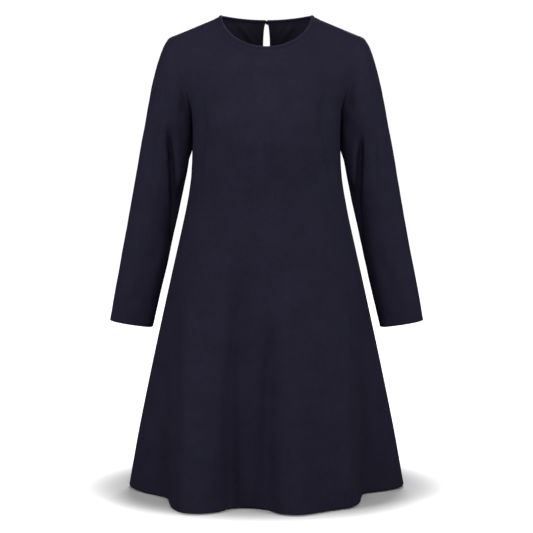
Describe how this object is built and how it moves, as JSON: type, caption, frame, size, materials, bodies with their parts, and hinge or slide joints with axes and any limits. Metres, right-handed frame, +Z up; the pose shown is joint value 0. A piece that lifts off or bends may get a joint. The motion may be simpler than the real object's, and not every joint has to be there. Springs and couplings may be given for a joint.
{
  "type": "long-sleeved a-line dress with a buttoned back keyhole, filled out as if worn",
  "caption": "Plain knee-length A-line dress with long set-in sleeves, a round bound neck, a fluted hem and a buttoned keyhole at the back, hollow and filled out as if worn.",
  "frame": {"origin": "midway between the two side-neck points, at the top of the shoulders that hold the dress up", "axes": "+Z up along the centre line of the dress, -Y out of its front, +X towards its own left sleeve"},
  "size_m": [0.643, 0.4553, 0.9676],
  "materials": {
    "crepe": "matte navy crepe with a fine pebbled face",
    "binding": "the same crepe cut on the bias and folded narrow",
    "button": "dark navy, softly polished"
  },
  "bodies": {
    "root": {"front": "crepe", "back": "crepe", "sleeve_left": "crepe", "sleeve_right": "crepe", "neck_binding": "binding", "keyhole_binding": "binding", "button_loop": "binding", "neck_button": "button"}
  },
  "joints": []
}
